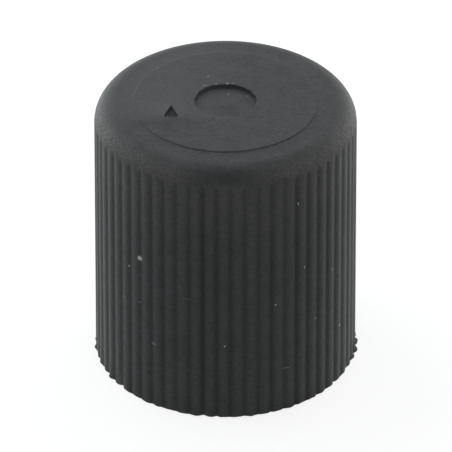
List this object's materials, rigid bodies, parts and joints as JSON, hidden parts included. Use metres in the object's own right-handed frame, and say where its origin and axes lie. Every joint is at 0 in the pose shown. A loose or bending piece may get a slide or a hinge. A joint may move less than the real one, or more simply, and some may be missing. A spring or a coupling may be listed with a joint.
{
  "type": "tyre valve cap",
  "caption": "Small dark plastic screw cap for a car tyre valve, with a finely ribbed grip, a rounded shoulder, a raised top disc with a shallow gate recess and a blind threaded bore.",
  "frame": {"origin": "centre of the open rim, on the plane that the rim stands on", "axes": "+Z along the cap's axis towards its closed end"},
  "size_m": [0.0102, 0.0102, 0.0112],
  "materials": {
    "moulded_plastic": "fine matt moulded surface, dark grey, slightly scuffed and dusty"
  },
  "bodies": {
    "root": {"valve_cap": "moulded_plastic"}
  },
  "joints": []
}
